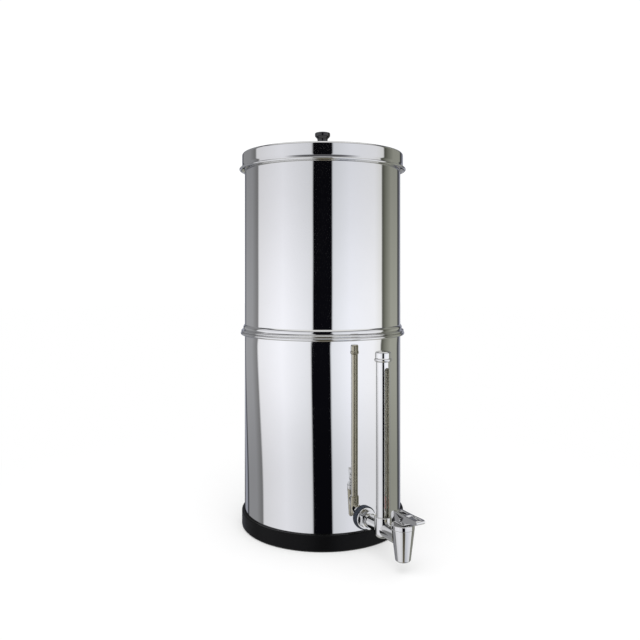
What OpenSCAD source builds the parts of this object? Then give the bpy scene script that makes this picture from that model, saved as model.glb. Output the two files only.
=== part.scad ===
// Gravity water filter: an upper chamber with two ceramic candles stands on a lower
// chamber that has a lever tap and a sight gauge. The origin is the middle of the base
// ring's underside, +Z is up and the tap points along -Y. All lengths are millimetres.

/* [Chambers] */
// Outside diameter of both steel chambers
body_d = 203; // [195:1:215]
// Thickness of the chambers' and the lid's steel sheet
sheet_t = 0.8; // [0.6:0.1:1]
// Height of the lower chamber's rim above the table
rim_z = 250; // [246:1:290]
// Height of the upper chamber's wall above its seat on the rim
upper_h = 229.2; // [220:0.1:280]
// Outside radius of the bend between the lower chamber's wall and floor
floor_bend_r = 6; // [4:0.5:9]
// Diameter of the roll that stiffens the lower chamber's rim
rim_roll_d = 4.2; // [3.6:0.1:4.6]
// How far the rolled rim stands out from the wall
rim_reach = 5.25; // [5.1:0.05:6.5]
// Height of the flared bead that the upper chamber sits on
bead_h = 9; // [7:0.5:14]
// How far the bead's lip stands out from the wall
bead_reach = 4.5; // [4.2:0.1:5]
// Radius of the bead's lip
lip_r = 1.2; // [1:0.1:1.4]
// How far the round of the bead above the lip stands out from the wall
bulge_reach = 2; // [1.4:0.1:2.6]
// Height of the skirt that nests in the lower chamber
skirt_h = 20; // [16:1:22]
// Clearance between the skirt and the lower chamber
nest_gap = 0.5; // [0.3:0.1:1]

/* [Base ring] */
// Height of the moulded ring round the foot of the lower chamber
ring_h = 20; // [12:1:22]
// Thickness of the ring's wall
ring_wall = 3.3; // [2.4:0.1:5]
// Height of the ledge that carries the lower chamber's floor
ledge_h = 4; // [3:0.5:6]
// Width of that ledge, from the ring's wall inwards
ledge_w = 12; // [8:1:20]
// Bevel round the ring's bottom edge
ring_bevel = 2; // [1:0.5:3]

/* [Lid] */
// Clearance between the upper chamber's wall and the lid's band
lid_gap = 2.7; // [1.7:0.1:6]
// Height of the lid, from the rolled edge to the top plate
lid_h = 22; // [16:1:30]
// How far the lid's rolled edge stands out from its band
lid_reach = 3.5; // [3:0.1:6]
// Diameter of the lid's edge roll
lid_roll_d = 3; // [2.6:0.1:3.4]
// Height over which the band flares out to the edge
lid_flare_h = 4; // [3:0.5:8]
// Radius of the bend between the top plate and the band
lid_bend_r = 3; // [2:0.5:5]

/* [Knob] */
// Height of the knob above the lid
knob_h = 30; // [24:1:40]
// Diameter of the knob's head
knob_head_d = 20; // [17:0.5:28]
// Diameter of the knob's neck
knob_neck_d = 13.4; // [11:0.2:15]
// Diameter of the knob's foot
knob_foot_d = 19; // [17:0.5:24]
// Diameter of the screw that holds the knob
knob_screw_d = 5; // [4:0.5:6]
// Length of that screw below its head
knob_screw_len = 15; // [10:1:18]

/* [Candles] */
// Diameter of a ceramic candle
candle_d = 57; // [50:1:60]
// Height of a candle from its seal to the top of its dome
candle_h = 182; // [150:1:190]
// Thickness of the ceramic wall
candle_wall = 8; // [6:0.5:10]
// Clearance between a candle and the upper chamber's wall
candle_gap = 7.2; // [6.2:0.1:8.2]
// Turn of the candles' line from the X axis, in degrees
candle_turn = -28.5; // [-40:0.5:-15]
// Diameter of the carbon block inside a candle
core_d = 38; // [30:1:40]
// Height of the carbon block
core_h = 130; // [100:1:135]
// Height of the cap that the ceramic is glued into
candle_cap_h = 12; // [10:1:16]
// Diameter of the candle's threaded stem
candle_stem_d = 12; // [10:0.5:14]
// Length of the stem below the seal's top face
candle_stem_len = 26; // [22:1:28]
// How far the upper chamber's floor lies below its seat
floor_drop = 5; // [4:0.5:6]
// Thickness of the upper chamber's floor
floor_t = 1; // [0.8:0.1:1.5]

/* [Tap] */
// Height of the tap's water way above the table
tap_z = 36; // [34:0.5:40]
// Distance from the chamber's wall to the gauge's axis
gauge_reach = 40.3; // [38.5:0.1:46]
// Distance from the chamber's wall to the valve's axis
valve_reach = 79; // [77:0.1:90]
// Outside diameter of the pipe from the nut to the gauge
pipe_d = 15; // [13:0.5:16]
// Outside diameter of the pipe from the gauge to the valve
arm_d = 17; // [15:0.5:17.5]
// Bore of the water way
way_d = 8; // [6:0.5:8]
// Diameter of the threaded shank through the chamber's wall
shank_d = 16; // [14:0.5:18]
// Length of the shank behind the flange
shank_len = 18.5; // [17:0.5:24]
// Diameter of the tap's flange
flange_d = 25; // [24:0.5:30]
// Size of the tap's hexagon across its flats
hex_flats = 20; // [17:0.5:21]
// Diameter of the rubber washer outside the wall
washer_d = 27.5; // [26:0.5:32]
// Thickness of that washer at its middle
washer_t = 3; // [2:0.5:4]

/* [Valve] */
// Diameter of the valve barrel at its top
barrel_top_d = 25.5; // [24:0.5:30]
// Diameter of the barrel at its outlet
barrel_tip_d = 16.6; // [15:0.2:18]
// Height of the outlet above the table
outlet_z = 13; // [8:0.5:15]
// Height of the barrel's top above the table
barrel_top_z = 48.5; // [46.5:0.5:52]
// Bore of the valve chamber
chamber_bore_d = 16; // [15:0.5:17]
// Bore of the outlet
outlet_bore_d = 10; // [8:0.5:10]
// Height of the collar of the bonnet
bonnet_h = 5; // [4:0.5:7]
// Diameter of the valve's stem
stem_d = 6; // [5:0.5:6.5]
// How far the stem lifts when the lever is down
valve_lift = 3; // [2:0.5:3]
// How far the lever tilts, in degrees
lever_tilt = 25; // [20:1:26]
// Reach of the lever outside the valve's axis
lever_out = 32; // [26:1:45]
// Reach of the lever inside the valve's axis
lever_in = 15; // [13:0.5:17]
// Width of the lever
lever_w = 11; // [10.5:0.5:14]
// Height of the lever at its cheeks
lever_h = 11.7; // [11:0.1:14]
// Diameter of the lever's pin
lever_pin_d = 2.5; // [2:0.1:3]

/* [Sight gauge] */
// Outside diameter of the gauge's steel sleeve
sleeve_d = 16; // [15:0.5:18]
// Wall of the sleeve
sleeve_wall = 1; // [0.8:0.1:1.2]
// Height of the sleeve's top above the table
sleeve_top_z = 230; // [180:1:240]
// Width of the slot in the sleeve
slot_w = 6; // [4:0.5:7]
// Outside diameter of the glass tube
glass_d = 12; // [11.5:0.5:12.5]
// Bore of the glass tube
glass_bore_d = 9; // [8.6:0.2:9.4]
// Diameter of the float
float_d = 8; // [7:0.2:8.2]
// Height of the float
float_h = 16; // [12:1:20]
// Height of the cap above the sleeve
gauge_cap_h = 7; // [5:0.5:10]

/* [Hidden] */
$fn = 96;
// Extra length that lets a cut run clear of what it cuts
over = 0.5;
// Steps along a bend and along a full roll
bend_steps = 6;
roll_steps = 18;
// Steps round the chamber's wall where a washer's face is cut to it
wall_steps = 720;

// Chambers
body_r = body_d / 2;
inner_r = body_r - sheet_t;
wall_mid_r = body_r - sheet_t / 2;
rim_bend_r = 1;
rim_roll_r = rim_roll_d / 2;
skirt_r = inner_r - nest_gap;
skirt_mid_r = skirt_r - sheet_t / 2;
bulge_mid_h = 5.2;
valley_r = 0.6;
rim_roll_end = -170;
upper_top_z = rim_z + upper_h;

// Upper floor, a pan with its flange turned down inside the skirt
pan_top_z = rim_z - floor_drop;
pan_bend_r = 2;
pan_flange_h = 9;
pan_gap = 0.1;
pan_mid_r = skirt_r - sheet_t - pan_gap - floor_t / 2;

// Base ring
ring_gap = 0.2;
ring_in_r = body_r + ring_gap;
ring_out_r = ring_in_r + ring_wall;
ring_hole_r = ring_in_r - ledge_w;
ring_round_r = 1;

// Lid and knob
lid_top_z = upper_top_z + sheet_t;
lid_low_z = lid_top_z - lid_h;
lid_r = body_r + lid_gap + sheet_t;
lid_mid_r = lid_r - sheet_t / 2;
lid_roll_r = lid_roll_d / 2;
lid_roll_x = lid_r + lid_reach - lid_roll_r;
lid_roll_end = 420;
knob_head_h = 4;
knob_head_edge_r = 1.4;
knob_crown = 0.8;
knob_foot_edge_h = 1.5;
knob_neck_bend = 5;
screw_gap = 0.05;
screw_hole_gap = 0.25;
screw_head_d = 9.5;
screw_head_h = 3;
screw_slot_w = 1.2;
screw_slot_h = 1.4;
screw_washer_d = 15;
screw_washer_t = 1;

// Candles
candle_offset = inner_r - candle_gap - candle_d / 2;
seal_t = 2.5;
seal_d = 24;
stem_gap = 0.3;
seal_gap = 0.1;
candle_foot_z = pan_top_z + seal_t;
candle_cap_wall = 1.9;
candle_glue_gap = 0.1;
candle_cap_floor = 4;
core_seat_h = 3.5;
core_seat_d = 30;
candle_way_d = 5;
nut_body_d = 18;
nut_body_h = 9;
nut_wing_reach = 15;
nut_wing_t = 3;
nut_wing_h = 11;
nut_wing_round = 3;
nut_gap = 0.15;

// Tap
gauge_r = body_r + gauge_reach;
valve_r = body_r + valve_reach;
flange_r = body_r + washer_t;
flange_t = 2.5;
hex_len = 7;
hex_bevel = 1;
shank_gap = 0.5;
inner_washer_d = 25;
inner_washer_t = 3;
lock_nut_flats = 24;
lock_nut_t = 6;
thread_gap = 0.1;
tee_d = 20;
tee_rise = 14;
tee_low_z = tap_z - tee_d / 2;
tee_top_z = tap_z + tee_rise;
tee_bevel = 1;
tee_foot_bevel = 3.6;
socket_depth = 6;
socket_z = tee_top_z - socket_depth;
spigot_gap = 0.2;
spigot_rise = 7;
spigot_top_z = tee_top_z + spigot_rise;
spigot_way_d = 4;

// Valve
outlet_len = 14;
seat_z = outlet_z + outlet_len;
barrel_lip_r = 2.2;
bonnet_top_z = barrel_top_z + bonnet_h;
bonnet_thread_len = 5;
bonnet_edge_r = 1;
bonnet_roof = 4;
stem_fit = 0.08;
spring_pocket_d = 12.6;
spring_top_z = bonnet_top_z - bonnet_roof;
cup_len = 10;
stem_collar_z = seat_z + cup_len;
stem_collar_d = 12;
stem_collar_t = 1.5;
stem_bulb_d = 7.5;
stem_bulb_h = 4;
stem_neck_d = 4.5;
cup_d = 13;
cup_floor = 3;
cup_fit = 0.03;
cup_round_r = 1.2;
spring_wire_d = 0.9;
spring_mean_d = 9.8;
spring_turns = 5;
spring_gap = 0.2;
spring_rings = 8;
spring_sides = 6;

// Lever: its cheeks roll on the bonnet on a rounded cam edge
lever_gap = 0.3;
lever_low_z = bonnet_top_z + lever_gap;
lever_pin_z = lever_low_z + lever_h / 2;
cam_r = 3;
cam_share = 0.96;
cam_x = cam_share * valve_lift / (lever_tilt * PI / 180);
cam_end_turn = -20;
lever_slot_gap = 0.3;
lever_slot_w = stem_d + 2 * lever_slot_gap;
lever_slot_half = 7;
lever_tip_t = 4.6;
lever_tip_rise = 0.6;
lever_root_x = 14;
lever_root_drop = 0.4;
lever_groove_w = 7;
lever_groove_depth = 1.2;
lever_groove_start = 10;
lever_groove_end_gap = 3;
pin_fit = 0.08;
pin_end = 0.2;
stem_end = 3.4;
stem_top_z = lever_pin_z + stem_end;

// Sight gauge
sleeve_bore_d = sleeve_d - 2 * sleeve_wall;
sleeve_fit = 0.05;
slot_foot = 2;
slot_low_z = tee_top_z - slot_foot;
slot_top_gap = 11;
gauge_seal_t = 2;
gauge_seal_gap = 0.1;
glass_top_gap = 3;
glass_low_z = socket_z + gauge_seal_t;
glass_top_z = sleeve_top_z - glass_top_gap;
cap_bead_reach = 2;
cap_bead_h = 5;
cap_bead_turn = 60;
cap_top_reach = 1;
cap_round_r = 2.5;
cap_vent_d = 2;
float_foot_d = 5.2;
float_round_r = 3;
float_foot_turn = -60;

// Points of an arc about c, from angle a0 to angle a1
function arc_points(c, r, a0, a1, steps) = [
    for (i = [0 : steps])
        let (a = a0 + (a1 - a0) * i / steps)
            [c[0] + r * cos(a), c[1] + r * sin(a)]
];

function unit(v) = v / norm(v);

// A path's point moved sideways by s, mitred where the path bends
function side_point(path, i, s) =
    let (
        a = max(i, 1),
        b = min(i, len(path) - 2),
        before = unit(path[a] - path[a - 1]),
        after = unit(path[b + 1] - path[b]),
        mean = unit(before + after)
    )
    path[i] + [-mean[1], mean[0]] * s / (mean * before);

// Outline of sheet of thickness t whose middle follows a path
function sheet_outline(path, t) = concat(
    [for (i = [0 : len(path) - 1]) side_point(path, i, t / 2)],
    [for (i = [len(path) - 1 : -1 : 0]) side_point(path, i, -t / 2)]
);

module spun_sheet(path, t) {
    rotate_extrude() polygon(sheet_outline(path, t));
}

// A ring or tube that stands on z = low
module tube(outer_d, bore_d, low, high) {
    translate([0, 0, low]) difference() {
        cylinder(d = outer_d, h = high - low);
        translate([0, 0, -over]) cylinder(d = bore_d, h = high - low + 2 * over);
    }
}

// Places a child whose +Z points outwards along the tap, with its foot at radius r
module along_tap(r) {
    translate([0, -r, tap_z]) rotate([90, 0, 0]) children();
}

// A hexagonal nut with bevelled corners, its middle on the Z axis
module hex_nut(flats, length, bevel) {
    corner_r = flats / sqrt(3);
    intersection() {
        rotate([0, 0, 30]) cylinder(r = corner_r, h = length, $fn = 6);
        rotate_extrude() polygon([
            [0, 0], [corner_r - bevel, 0], [corner_r + over, bevel],
            [corner_r + over, length - bevel], [corner_r - bevel, length], [0, length]
        ]);
    }
}

// Chambers

module lower_chamber() {
    floor_mid_z = ledge_h + sheet_t / 2;
    bend_r = floor_bend_r - sheet_t / 2;
    rim_mid_z = rim_z - sheet_t / 2;
    roll_x = body_r + rim_reach - rim_roll_r;
    path = concat(
        [[0, floor_mid_z]],
        arc_points([wall_mid_r - bend_r, floor_mid_z + bend_r], bend_r, -90, 0, bend_steps),
        arc_points([wall_mid_r + rim_bend_r, rim_mid_z - rim_bend_r], rim_bend_r, 180, 90, bend_steps),
        arc_points([roll_x, rim_z - rim_roll_r], rim_roll_r - sheet_t / 2, 90, rim_roll_end, roll_steps)
    );
    color("silver") difference() {
        spun_sheet(path, sheet_t);
        along_tap(inner_r - washer_d / 2)
            cylinder(d = shank_d + 2 * shank_gap, h = washer_d);
    }
}

module base_ring() {
    color([0.08, 0.08, 0.08]) rotate_extrude() polygon(concat(
        [[ring_hole_r, 0], [ring_out_r - ring_bevel, 0], [ring_out_r, ring_bevel]],
        arc_points([ring_out_r - ring_round_r, ring_h - ring_round_r], ring_round_r, 0, 90, bend_steps),
        [[ring_in_r, ring_h], [ring_in_r, ledge_h], [ring_hole_r, ledge_h]]
    ));
}

// The sheet runs up the skirt, out over the rim, round the lip, back in to a tight valley,
// over the round of the bead and up the wall
module upper_chamber() {
    seat_mid_z = rim_z + sheet_t / 2;
    lip_mid_r = lip_r - sheet_t / 2;
    lip_x = body_r + bead_reach - lip_r;
    valley_z = rim_z + lip_r + lip_mid_r + valley_r;
    bulge_h = bead_h - bulge_mid_h;
    bulge_r = (bulge_h * bulge_h + bulge_reach * bulge_reach) / (2 * bulge_reach);
    bulge_x = wall_mid_r + bulge_reach - bulge_r;
    bulge_z = rim_z + bulge_mid_h;
    foot_turn = asin((valley_z - bulge_z) / (bulge_r + valley_r));
    head_turn = asin(bulge_h / bulge_r);
    valley_x = bulge_x + (bulge_r + valley_r) * cos(foot_turn);
    path = concat(
        [[skirt_mid_r, rim_z - skirt_h]],
        arc_points([skirt_mid_r + rim_bend_r, seat_mid_z - rim_bend_r], rim_bend_r, 180, 90, bend_steps),
        arc_points([lip_x, rim_z + lip_r], lip_mid_r, -90, 90, 2 * bend_steps),
        arc_points([valley_x, valley_z], valley_r, 270, 180 + foot_turn, bend_steps),
        arc_points([bulge_x, bulge_z], bulge_r, foot_turn + head_turn / bend_steps, head_turn,
            2 * bend_steps),
        [[wall_mid_r, upper_top_z]]
    );
    color("silver") spun_sheet(path, sheet_t);
}

module upper_floor() {
    mid_z = pan_top_z - floor_t / 2;
    path = concat(
        [[0, mid_z]],
        arc_points([pan_mid_r - pan_bend_r, mid_z - pan_bend_r], pan_bend_r, 90, 0, bend_steps),
        [[pan_mid_r, pan_top_z - pan_flange_h]]
    );
    color("silver") difference() {
        spun_sheet(path, floor_t);
        for (side = [-1, 1])
            at_candle(side) translate([0, 0, pan_top_z - floor_t - over])
                cylinder(d = candle_stem_d + 2 * stem_gap, h = floor_t + 2 * over);
    }
}

// Lid and knob

module lid() {
    plate_mid_z = lid_top_z - sheet_t / 2;
    bend_r = lid_bend_r - sheet_t / 2;
    path = concat(
        [[0, plate_mid_z]],
        arc_points([lid_mid_r - bend_r, plate_mid_z - bend_r], bend_r, 90, 0, bend_steps),
        [[lid_mid_r, lid_low_z + lid_roll_r + lid_flare_h]],
        arc_points([lid_roll_x, lid_low_z + lid_roll_r], lid_roll_r - sheet_t / 2, 180, lid_roll_end,
            roll_steps)
    );
    color("silver") difference() {
        spun_sheet(path, sheet_t);
        translate([0, 0, lid_top_z - sheet_t - over])
            cylinder(d = knob_screw_d + 2 * screw_hole_gap, h = sheet_t + 2 * over);
    }
}

module lid_knob() {
    top_z = lid_top_z + knob_h;
    head_r = knob_head_d / 2;
    neck_r = knob_neck_d / 2;
    foot_r = knob_foot_d / 2;
    head_low_z = top_z - knob_crown - knob_head_h;
    flare = head_r - neck_r;
    crown_r = (head_r * head_r + knob_crown * knob_crown) / (2 * knob_crown);
    crown_turn = asin((head_r - knob_head_edge_r) / crown_r);
    outline = concat(
        [[0, lid_top_z], [foot_r, lid_top_z]],
        [for (i = [0 : bend_steps])
            let (u = i / bend_steps)
                [neck_r + (foot_r - neck_r) * (1 + cos(180 * u)) / 2,
                 lid_top_z + knob_foot_edge_h + knob_neck_bend * u]],
        [for (i = [0 : bend_steps])
            let (u = i / bend_steps)
                [neck_r + flare * (1 - cos(180 * u)) / 2, head_low_z - knob_neck_bend * (1 - u)]],
        arc_points([head_r - knob_head_edge_r, top_z - knob_crown - knob_head_edge_r],
            knob_head_edge_r, 0, 90 - crown_turn, bend_steps),
        [for (i = [1 : bend_steps])
            let (a = crown_turn * (1 - i / bend_steps))
                [crown_r * sin(a), top_z - crown_r * (1 - cos(a))]]
    );
    color([0.06, 0.06, 0.07]) difference() {
        rotate_extrude() polygon(outline);
        translate([0, 0, lid_top_z - over])
            cylinder(d = knob_screw_d + 2 * screw_gap, h = knob_screw_len + over);
    }
}

module knob_washer() {
    low = lid_top_z - sheet_t - screw_washer_t;
    color("silver") tube(screw_washer_d, knob_screw_d + 2 * screw_hole_gap, low, low + screw_washer_t);
}

module knob_screw() {
    head_top_z = lid_top_z - sheet_t - screw_washer_t;
    color("silver") difference() {
        union() {
            translate([0, 0, head_top_z - screw_head_h]) cylinder(d = screw_head_d, h = screw_head_h);
            translate([0, 0, head_top_z]) cylinder(d = knob_screw_d, h = knob_screw_len);
        }
        translate([-screw_head_d, -screw_slot_w / 2, head_top_z - screw_head_h - over])
            cube([2 * screw_head_d, screw_slot_w, screw_slot_h + over]);
    }
}

// Candles

module at_candle(side) {
    rotate([0, 0, candle_turn]) translate([side * candle_offset, 0, 0]) children();
}

module candle_ceramic(side) {
    low = candle_foot_z + candle_cap_floor;
    out_r = candle_d / 2;
    in_r = out_r - candle_wall;
    dome_z = candle_foot_z + candle_h - out_r;
    color([0.93, 0.92, 0.88]) at_candle(side) rotate_extrude() polygon(concat(
        [[in_r, low], [out_r, low]],
        arc_points([0, dome_z], out_r, 0, 90, 2 * bend_steps),
        arc_points([0, dome_z], in_r, 90, 0, 2 * bend_steps)
    ));
}

module candle_carbon(side) {
    low = candle_foot_z + candle_cap_floor + core_seat_h;
    color([0.12, 0.12, 0.12]) at_candle(side) translate([0, 0, low]) cylinder(d = core_d, h = core_h);
}

module candle_cap(side) {
    cup_bore_r = candle_d / 2 + candle_glue_gap;
    cup_r = cup_bore_r + candle_cap_wall;
    floor_z = candle_foot_z + candle_cap_floor;
    color([0.9, 0.9, 0.9]) at_candle(side) rotate_extrude() polygon([
        [candle_way_d / 2, candle_foot_z - candle_stem_len],
        [candle_stem_d / 2, candle_foot_z - candle_stem_len],
        [candle_stem_d / 2, candle_foot_z],
        [cup_r - candle_cap_wall, candle_foot_z],
        [cup_r, candle_foot_z + candle_cap_wall],
        [cup_r, candle_foot_z + candle_cap_h],
        [cup_bore_r, candle_foot_z + candle_cap_h],
        [cup_bore_r, floor_z],
        [core_seat_d / 2, floor_z],
        [core_seat_d / 2, floor_z + core_seat_h],
        [candle_way_d / 2, floor_z + core_seat_h]
    ]);
}

module candle_seals() {
    for (side = [-1, 1])
        color([0.1, 0.1, 0.1]) at_candle(side)
            tube(seal_d, candle_stem_d + 2 * seal_gap, pan_top_z, pan_top_z + seal_t);
}

module candle_wing_nuts() {
    top_z = pan_top_z - floor_t;
    wing_len = nut_wing_reach - nut_wing_round;
    for (side = [-1, 1])
        color([0.08, 0.08, 0.08]) at_candle(side) difference() {
            union() {
                translate([0, 0, top_z - nut_body_h]) cylinder(d = nut_body_d, h = nut_body_h);
                translate([0, nut_wing_t / 2, top_z - nut_wing_h]) rotate([90, 0, 0])
                    linear_extrude(nut_wing_t) {
                        translate([-wing_len, 0]) square([2 * wing_len, nut_wing_h]);
                        for (end = [-1, 1])
                            translate([end * wing_len, 0]) {
                                translate([0, nut_wing_round]) circle(nut_wing_round);
                                translate([-nut_wing_round, nut_wing_round])
                                    square([2 * nut_wing_round, nut_wing_h - 2 * nut_wing_round]);
                            }
                    }
            }
            translate([0, 0, top_z - nut_wing_h - over])
                cylinder(d = candle_stem_d + 2 * nut_gap, h = nut_wing_h + 2 * over);
        }
}

// Tap

module tap_body() {
    pipe_start = flange_t + hex_len;
    arm_start = gauge_r - flange_r;
    arm_end = valve_r - flange_r;
    color("silver") difference() {
        union() {
            along_tap(flange_r) {
                translate([0, 0, -shank_len]) cylinder(d = shank_d, h = shank_len + over);
                cylinder(d = flange_d, h = flange_t);
                translate([0, 0, flange_t]) hex_nut(hex_flats, hex_len, hex_bevel);
                translate([0, 0, pipe_start - over]) cylinder(d = pipe_d, h = arm_start - pipe_start + over);
                translate([0, 0, arm_start]) cylinder(d = arm_d, h = arm_end - arm_start);
            }
            translate([0, -gauge_r, 0]) rotate_extrude() polygon([
                [0, tee_low_z], [tee_d / 2 - tee_foot_bevel, tee_low_z],
                [tee_d / 2, tee_low_z + tee_foot_bevel],
                [tee_d / 2, tee_top_z - tee_bevel], [tee_d / 2 - tee_bevel, tee_top_z], [0, tee_top_z]
            ]);
            translate([0, -valve_r, 0]) rotate_extrude() polygon(concat(
                [[0, outlet_z]],
                arc_points([barrel_tip_d / 2 - barrel_lip_r, outlet_z + barrel_lip_r], barrel_lip_r,
                    -90, 0, bend_steps),
                [[barrel_top_d / 2, barrel_top_z], [0, barrel_top_z]]
            ));
        }
        along_tap(flange_r) translate([0, 0, -shank_len - over])
            cylinder(d = way_d, h = shank_len + arm_end + over);
        translate([0, -gauge_r, 0])
            tube(sleeve_d + 2 * sleeve_fit, glass_bore_d - 2 * spigot_gap, socket_z, tee_top_z + over);
        translate([0, -valve_r, 0]) {
            translate([0, 0, outlet_z - over]) cylinder(d = outlet_bore_d, h = seat_z - outlet_z + 2 * over);
            translate([0, 0, seat_z]) cylinder(d = chamber_bore_d, h = barrel_top_z - seat_z + over);
        }
        translate([0, -gauge_r, tap_z]) cylinder(d = spigot_way_d, h = spigot_top_z - tap_z + over);
    }
    color("silver") translate([0, -gauge_r, 0])
        tube(glass_bore_d - 2 * spigot_gap, spigot_way_d, tee_top_z - over, spigot_top_z);
}

module tap_outer_washer() {
    color([0.2, 0.22, 0.26]) difference() {
        along_tap(flange_r) translate([0, 0, -washer_t - over - washer_d / 4]) difference() {
            cylinder(d = washer_d, h = washer_t + over + washer_d / 4);
            translate([0, 0, -over]) cylinder(d = shank_d + 2 * thread_gap, h = washer_d);
        }
        cylinder(r = body_r, h = tap_z + washer_d, $fn = wall_steps);
    }
}

module tap_inner_washer() {
    seat_r = inner_r - inner_washer_t;
    color([0.15, 0.15, 0.17]) intersection() {
        along_tap(seat_r) difference() {
            cylinder(d = inner_washer_d, h = inner_washer_t + over);
            translate([0, 0, -over]) cylinder(d = shank_d + 2 * thread_gap, h = washer_d);
        }
        cylinder(r = inner_r, h = tap_z + washer_d, $fn = wall_steps);
    }
}

module tap_lock_nut() {
    color("silver") along_tap(inner_r - inner_washer_t - lock_nut_t) difference() {
        hex_nut(lock_nut_flats, lock_nut_t, hex_bevel);
        translate([0, 0, -over]) cylinder(d = shank_d + 2 * thread_gap, h = lock_nut_t + 2 * over);
    }
}

// Valve

module at_valve() {
    translate([0, -valve_r, 0]) children();
}

module valve_bonnet() {
    top_r = barrel_top_d / 2;
    thread_r = chamber_bore_d / 2 - thread_gap;
    color("silver") at_valve() rotate_extrude() polygon(concat(
        [[spring_pocket_d / 2, barrel_top_z - bonnet_thread_len],
         [thread_r, barrel_top_z - bonnet_thread_len],
         [thread_r, barrel_top_z], [top_r, barrel_top_z]],
        arc_points([top_r - bonnet_edge_r, bonnet_top_z - bonnet_edge_r], bonnet_edge_r, 0, 90, bend_steps),
        [[stem_d / 2 + stem_fit, bonnet_top_z], [stem_d / 2 + stem_fit, spring_top_z],
         [spring_pocket_d / 2, spring_top_z]]
    ));
}

module valve_stem() {
    bulb_low_z = seat_z + cup_floor;
    color("silver") at_valve() difference() {
        rotate_extrude() polygon([
            [0, bulb_low_z], [stem_bulb_d / 2, bulb_low_z], [stem_bulb_d / 2, bulb_low_z + stem_bulb_h],
            [stem_neck_d / 2, bulb_low_z + stem_bulb_h], [stem_neck_d / 2, stem_collar_z],
            [stem_collar_d / 2, stem_collar_z], [stem_collar_d / 2, stem_collar_z + stem_collar_t],
            [stem_d / 2, stem_collar_z + stem_collar_t], [stem_d / 2, stem_top_z], [0, stem_top_z]
        ]);
        translate([-stem_d, 0, lever_pin_z]) rotate([0, 90, 0]) cylinder(d = lever_pin_d, h = 2 * stem_d);
    }
}

module valve_seat_cup() {
    bulb_low_z = seat_z + cup_floor;
    color([0.85, 0.85, 0.82]) at_valve() rotate_extrude() polygon(concat(
        [[0, seat_z], [cup_d / 2, seat_z]],
        arc_points([cup_d / 2 - cup_round_r, stem_collar_z - cup_round_r], cup_round_r, 0, 90, bend_steps),
        [[stem_neck_d / 2 + cup_fit, stem_collar_z],
         [stem_neck_d / 2 + cup_fit, bulb_low_z + stem_bulb_h + cup_fit],
         [stem_bulb_d / 2 + cup_fit, bulb_low_z + stem_bulb_h + cup_fit],
         [stem_bulb_d / 2 + cup_fit, bulb_low_z], [0, bulb_low_z]]
    ));
}

// Middle of the spring's wire at share u of its length
spring_foot_z = stem_collar_z + stem_collar_t + spring_gap + spring_wire_d / 2;
spring_head_z = spring_top_z - spring_gap - spring_wire_d / 2;
function spring_point(u) =
    let (a = 360 * spring_turns * u)
        [spring_mean_d / 2 * cos(a), spring_mean_d / 2 * sin(a),
         spring_foot_z + (spring_head_z - spring_foot_z) * u];

// One unbroken wire with a ring of points at each step along its helix
module valve_spring() {
    steps = spring_turns * spring_rings;
    centres = [for (i = [0 : steps]) spring_point(i / steps)];
    slope = (spring_head_z - spring_foot_z) / (PI * spring_mean_d * spring_turns);
    rings = [
        for (i = [0 : steps])
            let (
                a = 360 * spring_turns * i / steps,
                outward = [cos(a), sin(a), 0],
                along = unit([-sin(a), cos(a), slope]),
                up = cross(outward, along)
            )
            for (k = [0 : spring_sides - 1])
                let (b = 360 * k / spring_sides)
                    centres[i] + spring_wire_d / 2 * (cos(b) * outward + sin(b) * up)
    ];
    faces = concat(
        [[for (k = [0 : spring_sides - 1]) k]],
        [for (i = [0 : steps - 1])
            for (k = [0 : spring_sides - 1])
                let (m = (k + 1) % spring_sides, p = i * spring_sides, q = p + spring_sides)
                    [p + k, q + k, q + m]],
        [for (i = [0 : steps - 1])
            for (k = [0 : spring_sides - 1])
                let (m = (k + 1) % spring_sides, p = i * spring_sides, q = p + spring_sides)
                    [p + k, q + m, p + m]],
        [[for (k = [spring_sides - 1 : -1 : 0]) steps * spring_sides + k]]
    );
    echo(least_spring_gap = norm(spring_point(1 / spring_turns) - spring_point(0)) - spring_wire_d);
    color("gray") at_valve() polyhedron(points = rings, faces = faces);
}

module lever_pin() {
    color("silver") at_valve() translate([-lever_w / 2 - pin_end, 0, lever_pin_z]) rotate([0, 90, 0])
        cylinder(d = lever_pin_d, h = lever_w + 2 * pin_end);
}

// The lever's side outline: x runs outwards from the valve's axis, y is height
module tap_lever() {
    nose_r = lever_h / 2;
    top_z = lever_low_z + lever_h;
    tip_r = lever_tip_t / 2;
    tip_z = top_z + lever_tip_rise - tip_r;
    outline = concat(
        arc_points([nose_r - lever_in, lever_low_z + nose_r], nose_r, 90, 270, 2 * bend_steps),
        arc_points([cam_x, lever_low_z + cam_r], cam_r, -90, cam_end_turn, bend_steps),
        [[lever_root_x, lever_pin_z - lever_root_drop]],
        arc_points([lever_out - tip_r, tip_z], tip_r, -90, 90, 2 * bend_steps),
        [[lever_root_x, top_z]]
    );
    color("silver") at_valve() difference() {
        translate([-lever_w / 2, 0, 0]) rotate([90, 0, 90]) linear_extrude(lever_w)
            mirror([1, 0]) polygon(outline);
        translate([-lever_slot_w / 2, -lever_slot_half, lever_low_z - over])
            cube([lever_slot_w, 2 * lever_slot_half, lever_h + 2 * over]);
        translate([-lever_groove_w / 2, -lever_out + lever_groove_end_gap, top_z - lever_groove_depth])
            cube([lever_groove_w, lever_out - lever_groove_end_gap - lever_groove_start, lever_h]);
        translate([-lever_w, 0, lever_pin_z]) rotate([0, 90, 0])
            cylinder(d = lever_pin_d + 2 * pin_fit, h = 2 * lever_w);
    }
}

// Sight gauge

module at_gauge() {
    translate([0, -gauge_r, 0]) children();
}

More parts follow.
